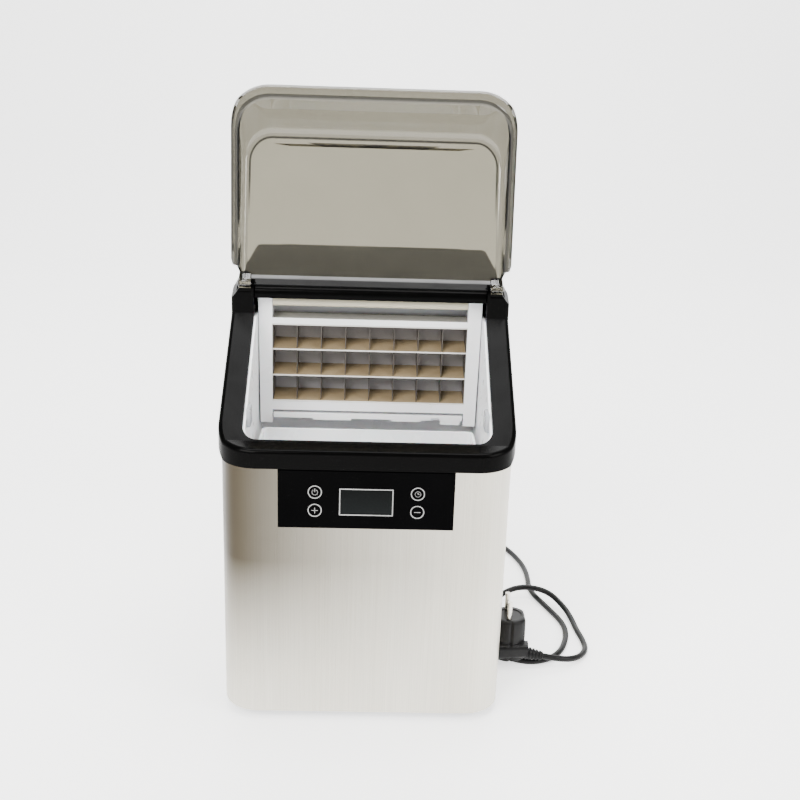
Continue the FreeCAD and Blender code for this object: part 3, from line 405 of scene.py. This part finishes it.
def lathe(name, base, direction, outline):
    """A turned piece: outline is (distance along direction, radius) from base."""
    side, up = axes_across(direction)
    rows = []
    for travel, radius in outline:
        centre = base + direction * travel
        rows.append([
            centre + side * (radius * math.cos(turn)) + up * (radius * math.sin(turn))
            for turn in round_turns(40)
        ])
    return strip_mesh(name, rows)


# ---- Mains cord ---------------------------------------------------------------------------------------
EXIT = Vector((-0.092, 0.2092, 0.021))
CORD_DIAMETER = 0.006
CORD_ROUTE = [
    EXIT,
    (-0.091, 0.230, 0.0195),
    (-0.080, 0.249, 0.012),
    (-0.058, 0.258, 0.0055),
    (-0.028, 0.262, 0.0034),
    (0.016, 0.256, 0.0034),
    (0.062, 0.249, 0.0034),
    (0.108, 0.238, 0.0034),
    (0.146, 0.211, 0.0034),
    (0.171, 0.172, 0.0034),
    (0.183, 0.136, 0.0034),
    (0.186, 0.106, 0.0034),
    (0.183, 0.068, 0.0034),
    (0.196, 0.034, 0.0034),
    (0.210, -0.004, 0.0034),
    (0.208, -0.034, 0.0034),
    (0.195, -0.066, 0.0034),
    (0.173, -0.080, 0.0034),
    (0.152, -0.078, 0.0034),
    (0.136, -0.066, 0.0034),
    (0.1295, -0.046, 0.0034),
    (0.130, -0.020, 0.0034),
    (0.135, 0.006, 0.0034),
    (0.138, 0.040, 0.004),
    (0.166, 0.060, 0.013),
    (0.199, 0.053, 0.013),
    (0.215, 0.026, 0.007),
    (0.220, 0.004, 0.0036),
    (0.221, -0.016, 0.0034),
    (0.224, -0.036, 0.0034),
    (0.224, -0.056, 0.0036),
    (0.2135, -0.0735, 0.005),
    (0.1955, -0.083, 0.008),
    (0.1755, -0.082, 0.0115),
]


def mains_cord():
    """The mains cord as one smooth curve along its route."""
    curve = bpy.data.curves.new("mains_cord", "CURVE")
    curve.dimensions = "3D"
    curve.resolution_u = 10
    curve.bevel_depth = CORD_DIAMETER / 2
    curve.bevel_resolution = 6
    curve.use_fill_caps = True
    spline = curve.splines.new("NURBS")
    spline.points.add(len(CORD_ROUTE) - 1)
    for point, place in zip(spline.points, CORD_ROUTE):
        point.co = (*place, 1)
    spline.order_u = 3
    spline.use_endpoint_u = True
    curve.materials.append(materials["cord_black"])
    cord = bpy.data.objects.new("mains_cord", curve)
    bpy.context.scene.collection.objects.link(cord)
    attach(cord, "cabinet")
    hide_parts("power_cord")
    return cord


# ---- Lid hood -----------------------------------------------------------------------------------------
LID_HALF = 0.125
LID_FRONT = -0.179
LID_CREASE = (-0.171, 0.306)
LID_REAR = (-0.0519, 0.3664)
LID_BOTTOM = [(-0.179, 0.2577), (-0.163, 0.2601), (-0.0519, 0.3396)]
LID_CORNER = 0.033
LID_WALL = 0.0026
LID_RIM = 0.0095
LID_STEP = 0.0040
LID_STEP_RISE = 0.0030
LID_DRAFT = 0.0012
LID_CREASE_RADIUS = 0.0065
LID_LEAN = 0.0035
hinge = next(joint for joint in frame["joints"] if joint["name"] == "lid_hinge")
HINGE = Vector(hinge["pos_m"])
OPEN_TURN = Matrix.Rotation(math.radians(hinge["range_deg"][0]), 4, "X")


def opened(point):
    """A point of the closed lid, carried to the open rest place."""
    return HINGE + OPEN_TURN @ (Vector(point) - HINGE)


def along(points, y):
    """Height at y on a line of (y, z) points."""
    for (y0, z0), (y1, z1) in zip(points, points[1:]):
        if y <= y1:
            return z0 + (z1 - z0) * (y - y0) / (y1 - y0)
    return points[-1][1]


def roof(y):
    """Height of the closed lid's roof at y."""
    return along([LID_CREASE, LID_REAR], y)


def hood_ring(inset, lean=0.0):
    """Points in plan from the left rear, round the front, to the right rear, drawn in by inset.

    The front is drawn back by lean as well.
    """
    side_steps, bend_steps, front_steps = 14, 12, 6
    half = LID_HALF - inset
    front = LID_FRONT + inset + lean
    corner = LID_CORNER - inset
    run = front + corner - LID_REAR[0]
    left = [(-half, LID_REAR[0] + run * i / side_steps) for i in range(side_steps)]
    turn = [math.pi + math.pi / 2 * i / bend_steps for i in range(bend_steps + 1)]
    bend = [(-half + corner + corner * math.cos(a), front + corner + corner * math.sin(a)) for a in turn]
    front_run = [((-half + corner) * (1 - i / front_steps), front) for i in range(1, front_steps)]
    half_ring = left + bend + front_run
    return half_ring + [(0.0, front)] + [(-x, y) for x, y in reversed(half_ring)]


def hood_rows():
    """Rows of (x, y, z, tone): rim band, small step, drafted wall, tight crease, edge of the roof; tone is painted
    shade.
    """
    # Painted shade for each band; the dark line along the roof's edge fades out towards the rear.
    rim_shade, wall_shade, step_shade, line_shade = 0.25, 0.3, 0.9, 0.95
    fade_start, fade_length = -0.098, 0.030
    crease_steps = 6
    step_top = LID_RIM + LID_STEP_RISE
    rows = []
    for rise, inset, tone in (
        (0.0, 0.0, rim_shade),
        (LID_RIM, 0.0004, rim_shade),
        (LID_RIM + 0.0008, 0.0012, step_shade),
        (LID_RIM + 0.0018, LID_STEP - 0.0006, step_shade),
        (step_top, LID_STEP, wall_shade),
    ):
        rows.append([(x, y, along(LID_BOTTOM, y) + rise, tone) for x, y in hood_ring(inset)])
    for level in (0.35, 0.7, 1.0):
        row = []
        for x, y in hood_ring(LID_STEP + LID_DRAFT * level, LID_LEAN * level):
            low = along(LID_BOTTOM, y - LID_LEAN * level) + step_top
            row.append((x, y, low + (roof(y) - LID_CREASE_RADIUS - low) * level, wall_shade))
        rows.append(row)
    wall_inset = LID_STEP + LID_DRAFT
    for step in range(1, crease_steps + 1):
        angle = math.pi / 2 * step / crease_steps
        drop = LID_CREASE_RADIUS * (1 - math.sin(angle))
        ring = hood_ring(wall_inset + LID_CREASE_RADIUS * (1 - math.cos(angle)), LID_LEAN)
        rows.append([(x, y, roof(y) - drop, rim_shade) for x, y in ring])
    for extra, tone in ((0.0004, line_shade), (0.0016, line_shade), (0.0022, 0.0), (0.0060, 0.0)):
        row = []
        for x, y in hood_ring(wall_inset + LID_CREASE_RADIUS + extra, LID_LEAN):
            fade = min(1.0, max(0.0, (fade_start - y) / fade_length))
            row.append((x, y, roof(y), tone * fade))
        rows.append(row)
    return rows


def lid_hood():
    """One clear moulding: rim band, near-upright walls and a sloping roof."""
    rows = hood_rows()
    work = bmesh.new()
    # Each vertex carries its painted shade for the lid's material.
    painted_shade_layer = work.verts.layers.float.new("painted_edge_shade")
    grid = []
    for row in rows:
        line = []
        for x, y, z, tone in row:
            vert = work.verts.new(opened((x, y, z)))
            vert[painted_shade_layer] = tone
            line.append(vert)
        grid.append(line)
    for a, b in zip(grid, grid[1:]):
        for i in range(len(a) - 1):
            work.faces.new((a[i], a[i + 1], b[i + 1], b[i]))
    last = grid[-1]
    for i in range(len(last) // 2):
        a, b, c, d = last[i], last[i + 1], last[-2 - i], last[-1 - i]
        work.faces.new([a, b, c, d] if b is not c else [a, b, d])
    bmesh.ops.recalc_face_normals(work, faces=work.faces)
    roof_face = max(work.faces, key=lambda face: face.calc_area())
    if roof_face.normal.dot(OPEN_TURN @ Vector((0, 0, 1))) < 0:
        bmesh.ops.reverse_faces(work, faces=work.faces)
    mesh = bpy.data.meshes.new("lid_hood")
    work.to_mesh(mesh)
    work.free()
    hood = piece("lid_hood", mesh, "lid", "smoke_clear")
    wall = hood.modifiers.new("wall", "SOLIDIFY")
    wall.thickness = LID_WALL
    wall.offset = -1
    rounded = hood.modifiers.new("edge", "BEVEL")
    rounded.width = 0.0006
    rounded.segments = 2
    rounded.angle_limit = math.radians(60)
    smooth = hood.modifiers.new("normals", "WEIGHTED_NORMAL")
    smooth.keep_sharp = True
    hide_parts("lid")
    return hood


def lid_tab(name, x0, x1):
    """A hinge tab: a round boss on the pin, faired into the lid's rear edge."""
    radius, edge, end_size = 0.0046, 0.0006, 0.88
    rear_edge = [(-0.0500, 0.3671), (-0.0535, 0.3655), (-0.0540, 0.3640), (-0.0510, 0.3628)]
    boss = [(HINGE.y + y, HINGE.z + z) for y, z in arc(radius, -150, 120, 14)]
    outline = [Vector((0, y, z)) for y, z in boss + rear_edge]
    middle = sum(outline, Vector()) / len(outline)
    rows = []
    for x, size in ((x0, end_size), (x0 + edge, 1.0), (x1 - edge, 1.0), (x1, end_size)):
        rows.append([opened(Vector((x, 0, 0)) + middle + (spot - middle) * size) for spot in outline])
    return piece(name, strip_mesh(name, rows), "lid", "smoke_clear", smooth=False)


# ---- Button marks -------------------------------------------------------------------------------------
def mark(name, body, node, strokes):
    """A raised mark on a button's face; each stroke is a flat ribbon through (x, z) points."""
    low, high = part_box(node)
    centre = (low + high) / 2
    face = low.y
    half_width, end_reach, proud = 0.00026, 0.000156, 0.00012
    work = bmesh.new()
    for stroke in strokes:
        for (xa, za), (xb, zb) in zip(stroke, stroke[1:]):
            run = Vector((xb - xa, zb - za))
            across = Vector((-run.y, run.x)).normalized() * half_width
            end = run.normalized() * end_reach
            start, stop = Vector((xa, za)) - end, Vector((xb, zb)) + end
            ring = [start + across, stop + across, stop - across, start - across]
            front = [work.verts.new((centre.x + x, face - proud, centre.z + z)) for x, z in ring]
            back = [work.verts.new((centre.x + x, face + proud, centre.z + z)) for x, z in ring]
            work.faces.new(front)
            for i in range(4):
                j = (i + 1) % 4
                work.faces.new((front[i], back[i], back[j], front[j]))
    mesh = bpy.data.meshes.new(name)
    work.to_mesh(mesh)
    work.free()
    return piece(name, mesh, body, "silver_trim", smooth=False)


def button_marks():
    """Power, plus, clock and minus."""
    reach = 0.0024
    upright = [(0, -reach), (0, reach)]
    level = [(-reach, 0), (reach, 0)]
    power_bar = [(0, 0.0004), (0, 0.0031)]
    clock_hands = [(0, 0.0014), (0, 0), (0.0011, 0)]
    mark("power_mark", "power", "power_button", [arc(reach, 125, 415), power_bar])
    mark("plus_mark", "plus", "plus_button", [upright, level])
    mark("timer_mark", "timer", "timer_button", [arc(reach, 0, 360, 24), clock_hands])
    mark("minus_mark", "minus", "minus_button", [level])


# ---- Plug and gland -----------------------------------------------------------------------------------
def flat_sided(radius, flat, z, centre):
    """A circle in plan with its left and right sides flattened and a key groove at front and back."""
    taper, groove_depth, groove_reach = 0.002, 0.0016, 0.11
    ring = []
    for turn in round_turns(48):
        x = radius * math.cos(turn)
        x = math.copysign(min(abs(x), flat - taper * abs(math.sin(turn)) ** 3), x)
        groove = groove_depth if abs(math.cos(turn)) < groove_reach else 0.0
        y = (radius - groove) * math.sin(turn)
        ring.append(Vector((centre.x + x, centre.y + y, z)))
    return ring


def plug_nose(low, high):
    """The plug's stepped body, between the corners of its CAD box, under the pins."""
    pins_low, pins_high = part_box("plug_pins")
    first_pin, step_height, flat = 0.0044, 0.019, 0.0155
    centre = Vector((pins_low.x + first_pin, (pins_low.y + pins_high.y) / 2, 0))
    step, top = low.z + step_height, high.z
    levels = [
        (low.z, 0.0165, flat - 0.0015), (low.z + 0.0008, 0.0179, flat - 0.0004),
        (low.z + 0.003, 0.0185, flat), (step - 0.002, 0.0185, flat),
        (step - 0.0004, 0.0180, flat - 0.0004), (step, 0.0172, flat - 0.001),
        (step + 0.0006, 0.0174, flat - 0.0008), (step + 0.004, 0.0176, flat - 0.0006),
        (top - 0.003, 0.0174, flat - 0.0008), (top - 0.0009, 0.0166, flat - 0.0014),
        (top, 0.0152, flat - 0.0026), (top, 0.0115, 0.0115), (top - 0.0008, 0.0110, 0.0110),
    ]
    rows = [flat_sided(radius, side, z, centre) for z, radius, side in levels]
    body = piece("plug_moulding", strip_mesh("plug_moulding", rows), "cabinet", "cord_black")
    keep_creases(body)
    return body


def plug_arm(end, axis, floor):
    """The side arm, narrowing from the body to the cord, above the plug's lowest level."""
    far, reach, steps = 0.046, 0.030, 8
    base = floor + 0.0102
    side, up = axes_across(axis)
    rows = []
    for i in range(steps + 1):
        travel = i / steps
        middle = end + axis * (far - reach * travel)
        middle.z = base + 0.0012 * travel
        half_y, half_z = 0.0100 - 0.0025 * travel, 0.0080 - 0.0012 * travel
        rows.append([
            middle + side * (half_y * rounded_sign(math.cos(a))) + up * (half_z * rounded_sign(math.sin(a)))
            for a in round_turns(24)
        ])
    arm = piece("plug_arm", strip_mesh("plug_arm", rows), "cabinet", "cord_black")
    keep_creases(arm)
    return arm


def plug_sleeve(end, axis):
    """The ribbed sleeve, widening from the cord to the arm."""
    ribs, first, pitch = 6, 0.0016, 0.0034
    outline = [(0.0, 0.0034), (0.0004, 0.0042)]
    for i in range(ribs):
        start = first + i * pitch
        size = 0.0046 + 0.0004 * i
        outline += [
            (start, size - 0.0009), (start + 0.0002, size), (start + 0.0017, size + 0.0002),
            (start + 0.0020, size - 0.0008), (start + 0.0032, size - 0.0008),
        ]
    outline += [(0.0225, 0.0070), (0.028, 0.0072)]
    sleeve = piece("plug_sleeve", lathe("plug_sleeve", end, axis, outline), "cabinet", "cord_black")
    keep_creases(sleeve)
    return sleeve


def plug_moulding():
    """The plug's three mouldings: stepped body, side arm and ribbed sleeve."""
    low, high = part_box("plug_body")
    end = Vector(CORD_ROUTE[-1])
    axis = (end - Vector(CORD_ROUTE[-2])).normalized()
    body = plug_nose(low, high)
    arm = plug_arm(end, axis, low.z)
    sleeve = plug_sleeve(end, axis)
    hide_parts("plug_body")
    return [body, arm, sleeve]


def rounded_sign(value):
    """A sine or cosine pushed towards a rounded square."""
    squareness = 0.55
    return math.copysign(abs(value) ** squareness, value)


def keep_creases(thing):
    """Smooth shading with the sharper edges kept crisp."""
    for edge in thing.data.edges:
        edge.use_edge_sharp = False
    thing.data.set_sharp_from_angle(angle=math.radians(38))


def gland_sleeve():
    """Gland flange and ribbed, tapering sleeve on the cord's first stretch."""
    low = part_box("strain_relief")[0]
    base = Vector((EXIT.x, low.y, EXIT.z))
    reach = EXIT.y - base.y
    outline = [
        (0, 0.0044), (0.0001, 0.0049), (0.0070, 0.0049), (0.00702, 0.0078), (0.0078, 0.0081),
        (0.0096, 0.0076), (0.0099, 0.0060),
    ]
    ribs, first, last = 7, 0.0110, reach - 0.0020
    pitch = (last - first) / ribs
    for i in range(ribs):
        start = first + i * pitch
        size = 0.0058 - 0.0018 * i / ribs
        outline += [
            (start, size - 0.0007), (start + 0.0002, size), (start + pitch * 0.55, size - 0.0001),
            (start + pitch * 0.6, size - 0.0008), (start + pitch * 0.98, size - 0.0009),
        ]
    outline += [(reach - 0.0008, 0.0040), (reach, 0.0034)]
    mesh = lathe("gland_sleeve", base, Vector((0, 1, 0)), outline)
    gland = piece("gland_sleeve", mesh, "cabinet", "black_rubber")
    keep_creases(gland)
    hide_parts("strain_relief")
    return gland


# ---- Floor, light and camera --------------------------------------------------------------------------
def sweep():
    """White studio sweep: a floor that curves up into a back wall, glowing faintly like a light table."""
    reach, bend_start, bend, top = 5.0, 1.6, 1.2, 3.2
    steps = 16
    profile = [(-reach, 0.0), (bend_start, 0.0)]
    for i in range(1, steps + 1):
        turn = math.pi / 2 * i / steps
        profile.append((bend_start + bend * math.sin(turn), bend * (1 - math.cos(turn))))
    profile.append((bend_start + bend, top))
    work = bmesh.new()
    left = [work.verts.new((-reach, y, z)) for y, z in profile]
    right = [work.verts.new((reach, y, z)) for y, z in profile]
    for i in range(len(profile) - 1):
        work.faces.new((left[i], right[i], right[i + 1], left[i + 1])).smooth = True
    mesh = bpy.data.meshes.new("sweep")
    work.to_mesh(mesh)
    work.free()
    floor = bpy.data.objects.new("sweep", mesh)
    bpy.context.scene.collection.objects.link(floor)
    look = Look("sweep", (0.87, 0.87, 0.87), 0.7, Emission_Color=(1, 1, 1, 1), Emission_Strength=1.45)
    look.drift(look.noise(3), (0.86, 0.86, 0.86), (0.88, 0.88, 0.88))
    mesh.materials.append(look.material)


def area_light(name, place, target, width, height, power, color=(1, 1, 1)):
    """A rectangular soft lamp at place, aimed at target."""
    data = bpy.data.lights.new(name, "AREA")
    data.shape = "RECTANGLE"
    data.size = width
    data.size_y = height
    data.energy = power
    data.color = color
    light = bpy.data.objects.new(name, data)
    light.location = place
    light.rotation_euler = (Vector(target) - Vector(place)).to_track_quat("-Z", "Y").to_euler()
    bpy.context.scene.collection.objects.link(light)


def studio():
    """A bright low horizon, a dimmer sky and four soft lamps."""
    world = bpy.data.worlds.new("studio")
    world.use_nodes = True
    tree = world.node_tree
    background = tree.nodes["Background"]
    place = tree.nodes.new("ShaderNodeTexCoord")
    split = tree.nodes.new("ShaderNodeSeparateXYZ")
    sky = tree.nodes.new("ShaderNodeValToRGB")
    tree.links.new(place.outputs["Generated"], split.inputs[0])
    tree.links.new(split.outputs["Z"], sky.inputs["Fac"])
    elements = sky.color_ramp.elements
    elements[0].position, elements[0].color = 0.05, (1.6, 1.6, 1.6, 1)
    elements[1].position, elements[1].color = 0.30, (0.42, 0.42, 0.41, 1)
    tree.links.new(sky.outputs["Color"], background.inputs["Color"])
    background.inputs["Strength"].default_value = 1.0
    bpy.context.scene.world = world
    area_light("key", (-1.1, -1.8, 2.0), (0, -0.1, 0.2), 1.5, 1.5, 120, (1.0, 0.985, 0.96))
    area_light("fill", (1.7, -1.2, 1.5), (0, 0, 0.2), 1.2, 1.2, 50, (1.0, 0.985, 0.95))
    area_light("back", (0.2, 1.9, 2.3), (0, 0, 0.2), 2.0, 1.2, 60)
    area_light("top", (0, -0.05, 1.9), (0, -0.05, 0), 1.3, 0.7, 45)


def camera():
    """The photograph's viewpoint: above the front, looking down, turned and rolled a little."""
    pitch, pan_turn, roll_turn = 18, -1.8, 1.9
    data = bpy.data.cameras.new("camera")
    data.sensor_width = 36
    data.lens = 49.4
    view = bpy.data.objects.new("camera", data)
    pan = Matrix.Rotation(math.radians(pan_turn), 4, "Z")
    tilt = Matrix.Rotation(math.radians(90 - pitch), 4, "X")
    roll = Matrix.Rotation(math.radians(roll_turn), 4, "Z")
    view.matrix_world = Matrix.Translation((-0.0012, -1.021, 0.576)) @ pan @ tilt @ roll
    bpy.context.scene.collection.objects.link(view)
    bpy.context.scene.camera = view


dress_nodes()
lid_hood()
lid_tab("lid_tab_left", -0.120, -0.109)
lid_tab("lid_tab_right", 0.109, 0.120)
button_marks()
cord = mains_cord()
plug_pieces = plug_moulding()
gland = gland_sleeve()
sweep()
studio()
camera()
